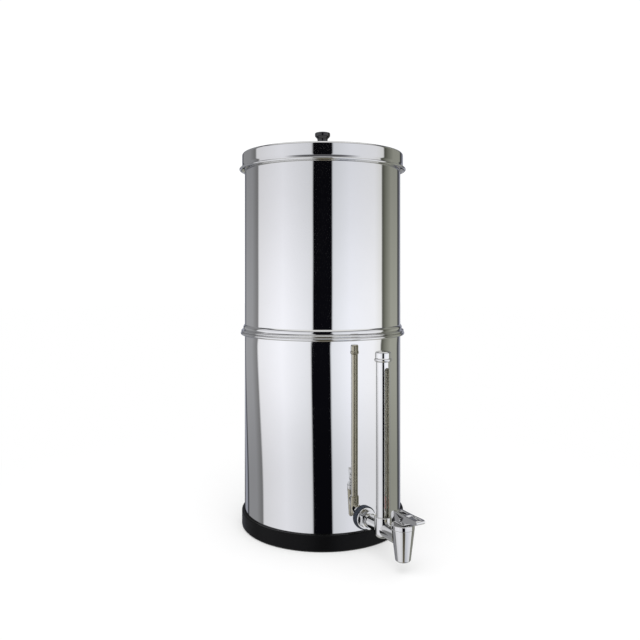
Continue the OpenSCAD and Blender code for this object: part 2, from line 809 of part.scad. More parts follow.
module gauge_sleeve() {
    slot_top_z = sleeve_top_z - slot_top_gap - slot_w / 2;
    color("silver") at_gauge() difference() {
        tube(sleeve_d, sleeve_bore_d, socket_z, sleeve_top_z);
        translate([-slot_w / 2, -sleeve_d, slot_low_z]) cube([slot_w, sleeve_d, slot_top_z - slot_low_z]);
        translate([0, 0, slot_top_z]) rotate([90, 0, 0]) cylinder(d = slot_w, h = sleeve_d);
    }
}

module gauge_glass() {
    color([0.8, 0.9, 0.95, 0.4]) at_gauge() tube(glass_d, glass_bore_d, glass_low_z, glass_top_z);
}

module gauge_seal(low) {
    color([0.1, 0.1, 0.1]) at_gauge()
        tube(sleeve_bore_d - 2 * gauge_seal_gap, glass_bore_d - spigot_gap, low, low + gauge_seal_t);
}

module gauge_cap() {
    bead_low_z = sleeve_top_z - cap_bead_h;
    bead_edge_r = cap_bead_h / 4;
    top_r = sleeve_d / 2 + cap_top_reach;
    bead_r = sleeve_d / 2 + cap_bead_reach;
    top_z = sleeve_top_z + gauge_cap_h;
    inside_r = sleeve_bore_d / 2 - gauge_seal_gap;
    color("silver") at_gauge() rotate_extrude() polygon(concat(
        [[sleeve_d / 2 + sleeve_fit, bead_low_z]],
        arc_points([bead_r - bead_edge_r, bead_low_z + bead_edge_r], bead_edge_r, -90, 0, bend_steps),
        arc_points([bead_r - bead_edge_r, sleeve_top_z - bead_edge_r], bead_edge_r, 0, cap_bead_turn,
            bend_steps),
        [[top_r, sleeve_top_z + bead_edge_r]],
        arc_points([top_r - cap_round_r, top_z - cap_round_r], cap_round_r, 0, 90, bend_steps),
        [[cap_vent_d / 2, top_z], [cap_vent_d / 2, glass_top_z + gauge_seal_t],
         [inside_r, glass_top_z + gauge_seal_t], [inside_r, sleeve_top_z],
         [sleeve_d / 2 + sleeve_fit, sleeve_top_z]]
    ));
}

module gauge_float() {
    foot_r = float_foot_d / 2;
    side_r = float_d / 2;
    top_z = spigot_top_z + float_h;
    color([0.75, 0.05, 0.05]) at_gauge() rotate_extrude() polygon(concat(
        [[0, spigot_top_z], [foot_r, spigot_top_z]],
        arc_points([side_r - float_round_r, spigot_top_z + float_round_r], float_round_r,
            float_foot_turn, 0, bend_steps),
        arc_points([side_r - float_round_r, top_z - float_round_r], float_round_r, 0, 90, bend_steps),
        [[0, top_z]]
    ));
}

lower_chamber();
base_ring();
upper_chamber();
upper_floor();
lid();
lid_knob();
knob_washer();
knob_screw();
candle_ceramic(-1);  // left_candle_ceramic
candle_ceramic(1);  // right_candle_ceramic
candle_carbon(-1);  // left_candle_carbon
candle_carbon(1);  // right_candle_carbon
candle_cap(-1);  // left_candle_cap
candle_cap(1);  // right_candle_cap
candle_seals();
candle_wing_nuts();
tap_body();
tap_outer_washer();
tap_inner_washer();
tap_lock_nut();
valve_bonnet();
valve_stem();
valve_seat_cup();
valve_spring();
lever_pin();
tap_lever();
gauge_sleeve();
gauge_glass();
gauge_seal(socket_z);  // gauge_lower_seal
gauge_seal(glass_top_z);  // gauge_upper_seal
gauge_cap();
gauge_float();
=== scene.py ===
"""A gravity water filter in polished steel: lower chamber with tap and sight gauge, upper
chamber with two candles, lid with a black knob. Metres, +Z up, the tap points along -Y."""

import math

import bpy
import numpy as np
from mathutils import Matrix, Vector


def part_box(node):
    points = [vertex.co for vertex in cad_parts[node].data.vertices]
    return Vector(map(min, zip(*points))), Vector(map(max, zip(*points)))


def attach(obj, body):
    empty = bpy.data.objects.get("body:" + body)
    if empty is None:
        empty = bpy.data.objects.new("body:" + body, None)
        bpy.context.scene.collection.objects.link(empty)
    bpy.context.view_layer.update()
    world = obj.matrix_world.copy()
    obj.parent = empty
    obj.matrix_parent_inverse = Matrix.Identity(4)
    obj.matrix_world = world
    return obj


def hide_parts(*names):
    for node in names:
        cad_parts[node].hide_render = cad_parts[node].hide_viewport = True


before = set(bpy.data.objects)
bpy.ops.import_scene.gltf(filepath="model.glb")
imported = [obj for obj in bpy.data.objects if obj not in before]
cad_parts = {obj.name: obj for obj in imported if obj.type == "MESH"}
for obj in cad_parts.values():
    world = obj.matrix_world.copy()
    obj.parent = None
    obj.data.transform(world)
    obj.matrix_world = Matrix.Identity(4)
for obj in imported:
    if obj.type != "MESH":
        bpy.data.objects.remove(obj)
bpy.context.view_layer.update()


# Camera: level, a little under a metre from the chambers' axis, and turned so that the tap
# points to its right. The frame is shifted down and a little left, which leaves room over the
# lid for the raised positions.
mm = 0.001
camera_distance = 920 * mm
camera_height = 330 * mm
camera_turn = math.radians(-29)
towards_camera = np.array([math.sin(camera_turn), -math.cos(camera_turn), 0.0])
camera_right = np.array([math.cos(camera_turn), math.sin(camera_turn), 0.0])

lens = bpy.data.cameras.new("camera")
lens.lens, lens.sensor_width = 39.4, 36
lens.shift_x, lens.shift_y = -0.004, -0.079
camera = bpy.data.objects.new("camera", lens)
camera.location = (*(towards_camera * camera_distance)[:2], camera_height)
camera.rotation_euler = (math.pi / 2, 0, camera_turn)
bpy.context.scene.collection.objects.link(camera)
bpy.context.scene.camera = camera


# Base ring: one moulding of black rubbery plastic, satin from its mould, that the lower chamber
# stands in. Its bottom edge is bevelled and its top edge is rounded.
class Wire:
    """An output socket of a material. Sums written with it add Math nodes to its tree."""

    def __init__(self, tree, socket=None):
        self.tree = tree
        self.socket = socket

    def node(self, kind, settings=None, links=None, out=0):
        """Adds a node: its settings are set first, then each input's value or link."""
        made = self.tree.nodes.new(kind)
        for key, value in (settings or {}).items():
            if key == "stops":
                while len(made.color_ramp.elements) < len(value):
                    made.color_ramp.elements.new(1.0)
                for element, (place, colour) in zip(made.color_ramp.elements, value):
                    element.position = place
                    element.color = (*colour, 1.0)
            else:
                setattr(made, key, value)
        for key, value in (links or {}).items():
            if isinstance(value, Wire):
                self.tree.links.new(value.socket, made.inputs[key])
            else:
                made.inputs[key].default_value = value
        return Wire(self.tree, made.outputs[out])

    def sum(self, operation, *terms):
        """One Math node, worked on terms that are sockets or numbers."""
        links = dict(enumerate(terms))
        return self.node("ShaderNodeMath", {"operation": operation}, links)

    def __add__(self, other):
        return self.sum("ADD", self, other)

    def __radd__(self, other):
        return self.sum("ADD", other, self)

    def __sub__(self, other):
        return self.sum("SUBTRACT", self, other)

    def __rsub__(self, other):
        return self.sum("SUBTRACT", other, self)

    def __mul__(self, other):
        return self.sum("MULTIPLY", self, other)

    def __rmul__(self, other):
        return self.sum("MULTIPLY", other, self)

    def __truediv__(self, other):
        return self.sum("DIVIDE", self, other)

    def rise(self, low, high):
        """0 below low, 1 above high, and a smooth step between them."""
        return self.node("ShaderNodeMapRange", {"interpolation_type": "SMOOTHSTEP"},
                         {"Value": self, "From Min": low, "From Max": high})

    def mix(self, first, second):
        """The first colour where this is 0, the second where it is 1."""
        links = {0: self, 6: first, 7: second}
        return self.node("ShaderNodeMix", {"data_type": "RGBA"}, links, 2)

    def blend(self, low, high):
        """The number low where this is 0, high where it is 1."""
        return self * (high - low) + low

    def axes(self):
        """The three parts of a vector, each by itself."""
        split = self.tree.nodes.new("ShaderNodeSeparateXYZ")
        self.tree.links.new(self.socket, split.inputs[0])
        return [Wire(self.tree, output) for output in split.outputs]

    def noise(self, scale, detail=2.0, roughness=0.5):
        """Soft noise between 0 and 1, with scale blots to the metre."""
        links = {"Vector": self, "Scale": scale, "Detail": detail, "Roughness": roughness}
        return self.node("ShaderNodeTexNoise", None, links)

    def scaled(self, x, y, z):
        """A vector with its three parts multiplied by x, y and z."""
        links = {"Vector": self, "Scale": (x, y, z)}
        return self.node("ShaderNodeMapping", None, links)

    def bump(self, height, strength, distance):
        """The normal of a surface that height raises by up to distance."""
        links = {"Height": height, "Strength": strength, "Distance": distance}
        return self.node("ShaderNodeBump", None, links)


def finish(name, values, paint):
    """A material with one Principled shader. values sets its plain sockets, and paint is a
    function of the object's own coordinates that returns the sockets that vary."""
    material = bpy.data.materials.new(name)
    material.use_nodes = True
    tree = material.node_tree
    shader = tree.nodes["Principled BSDF"]
    for key, value in values.items():
        shader.inputs[key].default_value = value
    place = Wire(tree).node("ShaderNodeTexCoord", out=3)
    for key, wire in paint(place).items():
        tree.links.new(wire.socket, shader.inputs[key])
    return material


def skin(name, points):
    """A closed skin over a grid of points[row, column]. Each point is joined to the next in its
    row and column, both wrap round, and a row that shrinks to a point becomes one vertex."""
    rows, columns = points.shape[:2]
    pinched = np.ptp(points, axis=1).max(axis=1) < 1e-7
    counts = np.where(pinched, 1, columns)
    first = np.concatenate(([0], np.cumsum(counts)[:-1]))
    index = first[:, None] + np.where(pinched[:, None], 0, np.arange(columns)[None, :])
    kept = np.ones((rows, columns), bool)
    kept[pinched, 1:] = False
    above = np.roll(index, -1, axis=0)
    quads = np.stack((index, np.roll(index, -1, 1), np.roll(above, -1, 1), above), axis=-1)
    low, high = pinched, np.roll(pinched, -1)
    faces = quads[~low & ~high].reshape(-1, 4).tolist()
    faces += quads[low & ~high][:, :, [0, 2, 3]].reshape(-1, 3).tolist()
    faces += quads[~low & high][:, :, [0, 1, 2]].reshape(-1, 3).tolist()
    mesh = bpy.data.meshes.new(name)
    mesh.from_pydata(points[kept].tolist(), [], faces)
    mesh.validate()
    mesh.shade_smooth()
    mesh.set_sharp_from_angle(angle=math.radians(32))
    piece = bpy.data.objects.new(name, mesh)
    bpy.context.scene.collection.objects.link(piece)
    return piece


def arc(centre, radius, start, end, steps=10):
    """Points of an arc about centre, from angle start to angle end, in degrees."""
    turn = np.radians(np.linspace(start, end, steps + 1))
    return np.stack((centre[0] + radius * np.cos(turn), centre[1] + radius * np.sin(turn)), 1)


def eased(corners, closed=True):
    """An outline through corners (r, z, radius): each corner with a radius becomes an arc that
    touches both of its sides, so the outline turns through it without a crease."""
    corners = np.asarray(corners, float)
    count = len(corners)
    parts = []
    for i, (r, z, radius) in enumerate(corners):
        here = np.array([r, z])
        before = corners[i - 1, :2] - here
        after = corners[(i + 1) % count, :2] - here
        if radius == 0 or (not closed and i in (0, count - 1)):
            parts.append(here[None, :])
            continue
        before, after = before / np.linalg.norm(before), after / np.linalg.norm(after)
        half = 0.5 * math.acos(np.clip(before @ after, -1, 1))
        middle = (before + after) / np.linalg.norm(before + after)
        centre = here + middle * radius / math.sin(half)
        first = here + before * radius / math.tan(half) - centre
        last = here + after * radius / math.tan(half) - centre
        start = math.degrees(math.atan2(first[1], first[0]))
        sweep = math.degrees(math.atan2(first[0] * last[1] - first[1] * last[0], first @ last))
        parts.append(arc(centre, radius, start, start + sweep, max(3, round(abs(sweep) / 9))))
    return np.concatenate(parts)


def spread(outline, pitch=4 * mm, guard=0.12 * mm):
    """Adds points to an outline's long straight stretches: one a guard's width from each end,
    which keeps the shading flat there, and others a pitch apart."""
    outline = np.asarray(outline, float)
    parts = []
    for start, end in zip(outline, np.roll(outline, -1, axis=0)):
        length = np.linalg.norm(end - start)
        share = np.array([0.0])
        if length > 5 * guard:
            steps = max(1, math.ceil(length / pitch))
            share = np.concatenate(([0.0], np.linspace(guard / length, 1 - guard / length, steps + 1)))
        parts.append(start + share[:, None] * (end - start))
    return np.concatenate(parts)


def turned(outline, columns=160, centre=(0.0, 0.0), shift=None):
    """Grid of a surface of revolution: the outline's point (r, z) at angle a lies at
    (x + r cos a, y + r sin a, z). shift(r, z, a) gives what is added to the radius."""
    outline = np.asarray(outline, float)
    r, z = outline[:, 0], outline[:, 1]
    if np.sum(r * np.roll(z, -1) - np.roll(r, -1) * z) < 0:
        r, z = r[::-1], z[::-1]
    a = np.linspace(0, 2 * np.pi, columns, endpoint=False)[None, :]
    r, z = r[:, None] + 0 * a, z[:, None] + 0 * a
    if shift is not None:
        r = r + shift(r, z, a)
    return np.stack((centre[0] + r * np.cos(a), centre[1] + r * np.sin(a), z), axis=-1)


def fit(piece, material, body, slot, *nodes):
    """Gives a piece its finish and its CAD body, and hides the CAD nodes that it stands for. slot is
    not used.
    """
    piece.data.materials.append(material)
    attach(piece, body)
    if nodes:
        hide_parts(*nodes)
    return piece


def moulded_black(place):
    """Black with a fine mould grain, a little paler where dust clings in the grain."""
    grain = place.noise(900, 3)
    drift = place.noise(18, 2)
    colour = drift.mix((0.002, 0.002, 0.0023, 1), (0.004, 0.004, 0.0044, 1))
    return {"Base Color": colour,
            "Roughness": drift.blend(0.26, 0.42),
            "Normal": place.bump(grain, 0.25, 0.05 * mm)}


base_black = finish("base_black", {"Specular IOR Level": 0.09}, moulded_black)
ring_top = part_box("base_ring")[1]
ring_r = ring_top.x
ring_hole_r = ring_r - 15.3 * mm
ring_seat_r = ring_r - 3.3 * mm
ledge_z = 4 * mm
ring_bevel = 2 * mm
ring_bevel_round = 0.5 * mm
ring_foot_round = 0.4 * mm
ring_top_round = 1 * mm
ring_seat_round = 0.3 * mm
ring_outline = eased([
    (ring_hole_r, 0, ring_foot_round), (ring_r - ring_bevel, 0, ring_foot_round),
    (ring_r, ring_bevel, ring_bevel_round), (ring_r, ring_top.z, ring_top_round),
    (ring_seat_r, ring_top.z, ring_seat_round), (ring_seat_r, ledge_z, 0),
    (ring_hole_r, ledge_z, ring_foot_round)])
fit(skin("base_ring_moulding", turned(spread(ring_outline))), base_black,
    "lower", "base_rubber", "base_ring")


# Lower chamber: a vessel spun from one sheet of stainless steel and polished to a mirror. The
# rim is rolled over outwards, and a hole low in the front takes the tap's shank.
sheet_t = 0.8 * mm
ring_gap = 0.2 * mm
body_r = ring_seat_r - ring_gap
wall_r = body_r - sheet_t / 2
wall_columns = 192
polish_depth = 0.05 * mm


def sheet(path, thickness=sheet_t):
    """Outline of sheet whose middle follows a path: the path moved to both sides by half the
    thickness, square to the mean of the directions before and after each point."""
    step = np.diff(path, axis=0)
    step /= np.linalg.norm(step, axis=1)[:, None]
    before, after = np.vstack((step[:1], step)), np.vstack((step, step[-1:]))
    mean = before + after
    mean /= np.linalg.norm(mean, axis=1)[:, None]
    side = np.stack((mean[:, 1], -mean[:, 0]), 1)
    side *= thickness / 2 / np.sum(mean * before, axis=1)[:, None]
    return np.concatenate((path + side, (path - side)[::-1]))


def hand_polish(r, z, a):
    """Radius lost to polishing by hand: the sum of three slow waves that run round and up, as
    deep as polish_depth where the radius is the wall's, and nothing a millimetre off it."""
    wave = (np.sin(5 * a + z / (21 * mm)) + 0.7 * np.sin(8 * a - z / (34 * mm) + 1.3)
            + 0.45 * np.sin(13 * a + z / (16 * mm) + 0.4))
    on_wall = np.clip(1 - np.abs(r - wall_r) / mm, 0, 1)
    return (0.5 * wave / 2.15 - 0.5) * polish_depth * on_wall


def polished(place):
    """Mirror polish: fine lines that run round with the wheel and faint smears."""
    x, y, z = place.axes()
    radius = place.sum("SQRT", x * x + y * y)
    lines = place.node("ShaderNodeCombineXYZ", None, {0: x * 6, 1: y * 6, 2: (z + radius) * 900})
    lines = lines.noise(1.0, 3)
    smears = place.noise(22, 4, 0.6)
    return {"Base Color": smears.mix((0.785, 0.785, 0.775, 1), (0.825, 0.825, 0.82, 1)),
            "Roughness": smears.rise(0.35, 0.8) * 0.035 + lines * 0.02 + 0.02,
            "Normal": place.bump(lines, 0.06, 0.02 * mm)}


def chamber_polish(place, dull_z):
    """The mirror polish, with a faint ground weld seam up the back. Inside, above dull_z, the
    sheet is duller, as it left the rolls, and painted shade darkens its colour to a streaked olive
    grey."""
    sockets = polished(place)
    x, y, z = place.axes()
    radius = place.sum("SQRT", x * x + y * y)
    seam = (1 - place.sum("ABSOLUTE", x).rise(0.4 * mm, 1.6 * mm)) * y.rise(0, 10 * mm)
    inside = (1 - radius.rise(wall_r - 0.25 * mm, wall_r - 0.05 * mm)) * z.rise(dull_z, dull_z + mm)
    streaks = place.scaled(1, 1, 0.015).noise(120, 3, 0.6)
    # Painted shade inside the chamber: a dark olive grey with streaks that run down the wall.
    rolled_and_shaded = streaks.rise(0.3, 0.7).mix((0.30, 0.30, 0.27, 1), (0.46, 0.46, 0.42, 1))
    colour = seam.mix(sockets["Base Color"], (0.70, 0.70, 0.69, 1))
    sockets["Base Color"] = inside.mix(colour, rolled_and_shaded)
    sockets["Roughness"] = sockets["Roughness"] + seam * 0.12 + inside * streaks.blend(0.16, 0.34)
    return sockets


lower_steel = finish("lower_steel", {"Metallic": 1.0}, lambda place: chamber_polish(place, -mm))
floor_bend_r = 5.6 * mm
floor_mid_z = ledge_z + sheet_t / 2
rim_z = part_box("lower_chamber")[1].z
rim_roll_r = 2.1 * mm
rim_roll_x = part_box("lower_chamber")[1].x - rim_roll_r
rim_bend_r = 1 * mm
lower_path = np.concatenate((
    [[0, floor_mid_z]],
    arc((wall_r - floor_bend_r, floor_mid_z + floor_bend_r), floor_bend_r, -90, 0, 12),
    arc((wall_r + rim_bend_r, rim_z - sheet_t / 2 - rim_bend_r), rim_bend_r, 180, 90, 8),
    arc((rim_roll_x, rim_z - rim_roll_r), rim_roll_r - sheet_t / 2, 90, -170, 28)))


def applied(piece):
    """Gives a piece the mesh that its modifiers make of it, and takes the modifiers off."""
    bpy.context.view_layer.update()
    seen = bpy.context.evaluated_depsgraph_get()
    mesh = bpy.data.meshes.new_from_object(piece.evaluated_get(seen))
    piece.modifiers.clear()
    piece.data = mesh
    return mesh


def bored(piece, cutter):
    """Cuts the cutter's shape out of a piece and does away with the cutter."""
    cut = piece.modifiers.new("cut", "BOOLEAN")
    cut.operation, cut.solver, cut.object = "DIFFERENCE", "EXACT", cutter
    applied(piece).materials.clear()
    bpy.data.objects.remove(cutter)
    return piece


tap_z = 36 * mm


def along_tap(points):
    """Lays a grid that was turned about Z on the tap's axis: its +Z becomes the way out."""
    x, y, z = points[..., 0], points[..., 1], points[..., 2]
    return np.stack((x, -z, y + tap_z), axis=-1)


shank_r = 8 * mm
shank_hole_r = 8.5 * mm
hole_reach = 14 * mm
hole_outline = [(0, body_r - hole_reach), (shank_hole_r, body_r - hole_reach),
                (shank_hole_r, body_r + hole_reach), (0, body_r + hole_reach)]
lower_grid = turned(spread(sheet(lower_path)), wall_columns, shift=hand_polish)
lower_shell = bored(skin("lower_chamber_shell", lower_grid),
                    skin("hole", along_tap(turned(hole_outline, 48))))
fit(lower_shell, lower_steel, "lower", "polished_steel", "lower_chamber")


# Tap: shank, flange, hexagon, pipe, gauge tee, arm and valve barrel are one brazed steel body,
# polished outside. The threaded shank goes through the chamber's wall between two rubber
# washers, and a nut inside draws it tight.
gauge_y = (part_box("gauge_glass")[0].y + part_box("gauge_glass")[1].y) / 2
valve_y = (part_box("valve_bonnet")[0].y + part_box("valve_bonnet")[1].y) / 2
gauge_r, valve_r = -gauge_y, -valve_y
washer_reach = 3 * mm
flange_r = body_r + washer_reach


def polished_fitting(place, axis_y=None):
    """Mirror polish on small fittings: faint smears and short polishing lines. An upright
    fitting at axis_y is duller at its back, and painted shade makes its colour there a darker brown."""
    smears = place.noise(60, 3, 0.6)
    lines = place.scaled(40, 900, 900).noise(1.0, 2)
    colour = smears.mix((0.78, 0.78, 0.77, 1), (0.83, 0.83, 0.82, 1))
    rough = smears * 0.05 + lines * 0.03 + 0.03
    if axis_y is not None:
        # Painted shade at the fitting's back: its colour turns a darker brown there, and it is
        # rougher.
        painted_back_shade = (place.axes()[1] - axis_y).rise(mm, 6.5 * mm)
        colour = painted_back_shade.mix(colour, (0.46, 0.43, 0.33, 1))
        rough = rough + painted_back_shade * 0.08
    return {"Base Color": colour, "Roughness": rough,
            "Normal": place.bump(lines, 0.08, 0.02 * mm)}


def satin(place):
    """Satin steel as it comes off the lathe: fine turning lines and dull patches."""
    patches = place.noise(45, 3)
    lines = place.scaled(300, 300, 2500).noise(1.0, 2)
    return {"Base Color": patches.mix((0.58, 0.58, 0.57, 1), (0.70, 0.70, 0.69, 1)),
            "Roughness": patches * 0.12 + lines * 0.1 + 0.2,
            "Normal": place.bump(lines, 0.2, 0.03 * mm)}


def pressed_rubber(place):
    """Blue-black sheet rubber: matt, with a fine grain and a pale bloom in patches."""
    bloom = place.noise(160, 4, 0.6)
    grain = place.noise(2200, 2)
    return {"Base Color": bloom.rise(0.35, 0.7).mix((0.02, 0.026, 0.04, 1), (0.05, 0.06, 0.085, 1)),
            "Roughness": bloom.blend(0.5, 0.72),
            "Normal": place.bump(grain, 0.3, 0.04 * mm)}


fitting_steel = finish("fitting_steel", {"Metallic": 1.0}, polished_fitting)
tee_steel = finish("tee_steel", {"Metallic": 1.0}, lambda place: polished_fitting(place, gauge_y))
barrel_steel = finish("barrel_steel", {"Metallic": 1.0},
                      lambda place: polished_fitting(place, valve_y))
satin_steel = finish("satin_steel", {"Metallic": 1.0}, satin)
washer_rubber = finish("washer_rubber", {}, pressed_rubber)


def dress(material, *nodes):
    """Gives CAD nodes whose shape is right a finish in place of their plain one."""
    for node in nodes:
        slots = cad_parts[node].data.materials
        slots.clear()
        slots.append(material)


def threaded(outline, thread_r, pitch, depth, low, high, columns=64, **place):
    """A turned shape with a thread on its radius thread_r: between low and high the radius dips
    by depth once a pitch along the axis, and the dip moves on by one pitch in each turn."""
    def cut(r, z, a):
        wave = np.abs(((z / pitch - a / (2 * np.pi)) % 1) * 2 - 1)
        run = np.clip((z - low) / pitch, 0, 1) * np.clip((high - z) / pitch, 0, 1)
        return -depth * wave * run * (np.abs(r - thread_r) < 0.2 * mm)
    return turned(outline, columns, shift=cut, **place)


shank_back = flange_r - 18.5 * mm
shank_round = 0.8 * mm
shank_pitch, shank_depth = 1.5 * mm, 0.7 * mm
sunk = 1 * mm  # how far a member of the body runs into the one before or after it
shank_outline = spread(eased([
    (0, shank_back, 0), (shank_r, shank_back, shank_round), (shank_r, flange_r + sunk, 0),
    (0, flange_r + sunk, 0)]), shank_pitch / 5)
shank = skin("tap_shank", along_tap(threaded(shank_outline, shank_r, shank_pitch, shank_depth,
                                             shank_back, flange_r - shank_pitch)))
fit(shank, satin_steel, "lower", "satin_steel", "tap_body")

flange_rim_r, flange_t = 12.5 * mm, 2.5 * mm
flange_back_round, flange_round = 0.3 * mm, 0.9 * mm
fine_pitch = 2 * mm
flange_outline = eased([
    (0, flange_r, 0), (flange_rim_r, flange_r, flange_back_round),
    (flange_rim_r, flange_r + flange_t, flange_round), (0, flange_r + flange_t, 0)])
fit(skin("tap_flange", along_tap(turned(spread(flange_outline, fine_pitch), 96))), fitting_steel,
    "lower", "polished_steel", "tap_body")

hex_flats = 20 * mm
hex_bevel, hex_corner_round = 1.1 * mm, 0.35 * mm
hex_low = flange_r + flange_t - 0.1 * mm
hex_high = flange_r + 9.5 * mm


def hexagon(flats, low, high, bevel, edge):
    """Grid of a bevelled hexagonal bar: at each angle the radius is the least of the hexagon's,
    a circle's that cuts edge off the corners, and a 30 degree cone's at both ends. Rows lie
    close together as far as the cones reach down the corners."""
    a = np.linspace(0, 2 * np.pi, 144, endpoint=False)[None, :]
    flat = flats / 2 / np.cos((a + np.pi / 6) % (np.pi / 3) - np.pi / 6)
    corner = flats / math.sqrt(3)
    depth = (corner - flats / 2) * 0.58 + bevel * 0.2
    z = np.concatenate(([low, low], np.linspace(low, low + depth, 8),
                        np.linspace(high - depth, high, 8), [high, high]))[:, None]
    cone = corner - bevel + np.minimum(z - low, high - z) * math.sqrt(3)
    r = np.minimum(np.minimum(flat, corner - edge), cone)
    r[[0, -1]] = 0
    r, z = np.broadcast_arrays(r, z)
    return np.stack((r * np.cos(a), r * np.sin(a), z + 0 * a), axis=-1)


hex_bar = along_tap(hexagon(hex_flats, hex_low, hex_high, hex_bevel, hex_corner_round))
fit(skin("tap_hexagon", hex_bar), fitting_steel, "lower", "polished_steel", "tap_body")

collar_r, pipe_r, arm_r = 8.6 * mm, 7.5 * mm, 8.5 * mm
collar_end, pipe_start = hex_high + 0.5 * mm, hex_high + 1.2 * mm
collar_round, pipe_round = 0.4 * mm, 0.5 * mm
pipe_pitch = 3 * mm
pipe_outline = eased([
    (0, hex_high - sunk, 0), (collar_r, hex_high - sunk, 0), (collar_r, collar_end, collar_round),
    (pipe_r, pipe_start, pipe_round), (pipe_r, gauge_r, 0), (0, gauge_r, 0)])
fit(skin("tap_pipe", along_tap(turned(spread(pipe_outline, pipe_pitch), 72))), fitting_steel,
    "lower", "polished_steel", "tap_body")

arm_end = valve_r - 8.6 * mm
arm_outline = eased([(0, gauge_r, 0), (arm_r, gauge_r, 0), (arm_r, arm_end, 0), (0, arm_end, 0)])
fit(skin("tap_arm", along_tap(turned(spread(arm_outline, pipe_pitch), 72))), fitting_steel,
    "lower", "polished_steel", "tap_body")

tee_r, socket_r, spigot_r, riser_r = 10 * mm, 8.05 * mm, 4.3 * mm, 2 * mm
tee_low_z, tee_high_z = tap_z - 10 * mm, tap_z + 14 * mm
socket_z, riser_z, spigot_z = tap_z + 8 * mm, tap_z + 9 * mm, tap_z + 21 * mm
tee_foot_round, tee_lip_round = 6 * mm, 0.9 * mm
spigot_round, bore_round = 0.4 * mm, 0.2 * mm
tee_outline = eased([
    (0, tee_low_z, 0), (tee_r, tee_low_z, tee_foot_round), (tee_r, tee_high_z, tee_lip_round),
    (socket_r, tee_high_z, bore_round), (socket_r, socket_z, 0), (spigot_r, socket_z, 0),
    (spigot_r, spigot_z, spigot_round), (riser_r, spigot_z, bore_round), (riser_r, riser_z, 0),
    (0, riser_z, 0)])
fit(skin("tap_tee", turned(spread(tee_outline, pipe_pitch), 80, (0, gauge_y))), tee_steel,
    "lower", "polished_steel", "tap_body")

outlet_z, seat_z = 13 * mm, 27 * mm
outlet_r, outlet_bore_r, valve_bore_r = 8.3 * mm, 5 * mm, 8 * mm
outlet_round, outlet_bore_round = 2.2 * mm, 0.4 * mm
barrel_round, seat_round = 0.5 * mm, 0.3 * mm
bonnet_h = 5 * mm
bonnet_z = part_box("valve_bonnet")[1].z
barrel_z = bonnet_z - bonnet_h
barrel_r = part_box("valve_bonnet")[1].x
barrel_outline = eased([
    (outlet_bore_r, outlet_z, outlet_bore_round), (outlet_r, outlet_z, outlet_round),
    (barrel_r, barrel_z, barrel_round), (valve_bore_r, barrel_z, bore_round),
    (valve_bore_r, seat_z, 0), (outlet_bore_r, seat_z, seat_round)])
fit(skin("tap_barrel", turned(spread(barrel_outline, pipe_pitch), 96, (0, valve_y))), barrel_steel,
    "lower", "polished_steel", "tap_body")

dress(washer_rubber, "tap_outer_washer", "tap_inner_washer")
dress(satin_steel, "tap_lock_nut")


# Valve: a bonnet screws into the barrel's top. Inside, a coil spring holds a soft seat cup on
# the outlet by a steel stem, and a pin joins the stem to the lever.
def soft_silicone(place):
    """Milky silicone with faint clouds."""
    clouds = place.noise(300, 2)
    return {"Base Color": clouds.mix((0.55, 0.55, 0.51, 1), (0.66, 0.66, 0.62, 1)),
            "Roughness": clouds.blend(0.32, 0.5)}


milky_silicone = finish("milky_silicone", {"Subsurface Weight": 0.2, "Subsurface Scale": mm},
                        soft_silicone)
screwed_r, bonnet_bore_r, stem_hole_r = 7.85 * mm, 6.3 * mm, 3.08 * mm
screwed_z, bonnet_foot_z, roof_z = barrel_z - 5 * mm, barrel_z + 0.05 * mm, bonnet_z - 4 * mm
screwed_round, bonnet_foot_round = 0.3 * mm, 0.45 * mm
bonnet_round, stem_hole_round = 1 * mm, 0.4 * mm
bonnet_outline = eased([
    (bonnet_bore_r, screwed_z, 0), (screwed_r, screwed_z, screwed_round),
    (screwed_r, bonnet_foot_z, 0), (barrel_r, bonnet_foot_z, bonnet_foot_round),
    (barrel_r, bonnet_z, bonnet_round), (stem_hole_r, bonnet_z, stem_hole_round),
    (stem_hole_r, roof_z, 0), (bonnet_bore_r, roof_z, 0)])
fit(skin("bonnet_cap", turned(spread(bonnet_outline, fine_pitch), 96, (0, valve_y))), fitting_steel,
    "lower", "polished_steel", "valve_bonnet")
dress(satin_steel, "valve_stem", "valve_spring", "lever_pin")
dress(milky_silicone, "valve_seat_cup")


# Lever: a polished casting whose two cheeks straddle the stem on a pin. Its rounded heel rolls
# on the bonnet, and its top is grooved for the thumb.
def softened(node, width, steps=3):
    """A copy of a CAD node with its loose triangles joined and its edges rounded."""
    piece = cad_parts[node].copy()
    piece.data = piece.data.copy()
    piece.name = node + "_casting"
    piece.parent = None
    piece.data.materials.clear()
    bpy.context.scene.collection.objects.link(piece)
    weld = piece.modifiers.new("weld", "WELD")
    weld.merge_threshold = 1e-6
    bevel = piece.modifiers.new("bevel", "BEVEL")
    bevel.width, bevel.segments, bevel.limit_method = width, steps, "ANGLE"
    bevel.angle_limit = math.radians(35)
    bevel.use_clamp_overlap = True
    mesh = applied(piece)
    mesh.shade_smooth()
    mesh.set_sharp_from_angle(angle=math.radians(32))
    return piece


lever_round = 0.5 * mm
fit(softened("tap_lever", lever_round), fitting_steel, "lever", "polished_steel", "tap_lever")


# Sight gauge: a glass tube between two rubber seals stands in a slotted steel sleeve, with a
# red float that rides on the water and a beaded cap with a vent.
def drawn_glass(place):
    """Clear drawn glass: faint streaks along the tube and a thin olive-grey film over it."""
    film = place.scaled(1, 1, 0.02).noise(500, 2)
    return {"Roughness": film * 0.05 + 0.01,
            "Base Color": film.mix((0.30, 0.30, 0.25, 1), (0.48, 0.48, 0.42, 1)),
            "Alpha": film.blend(0.14, 0.26)}


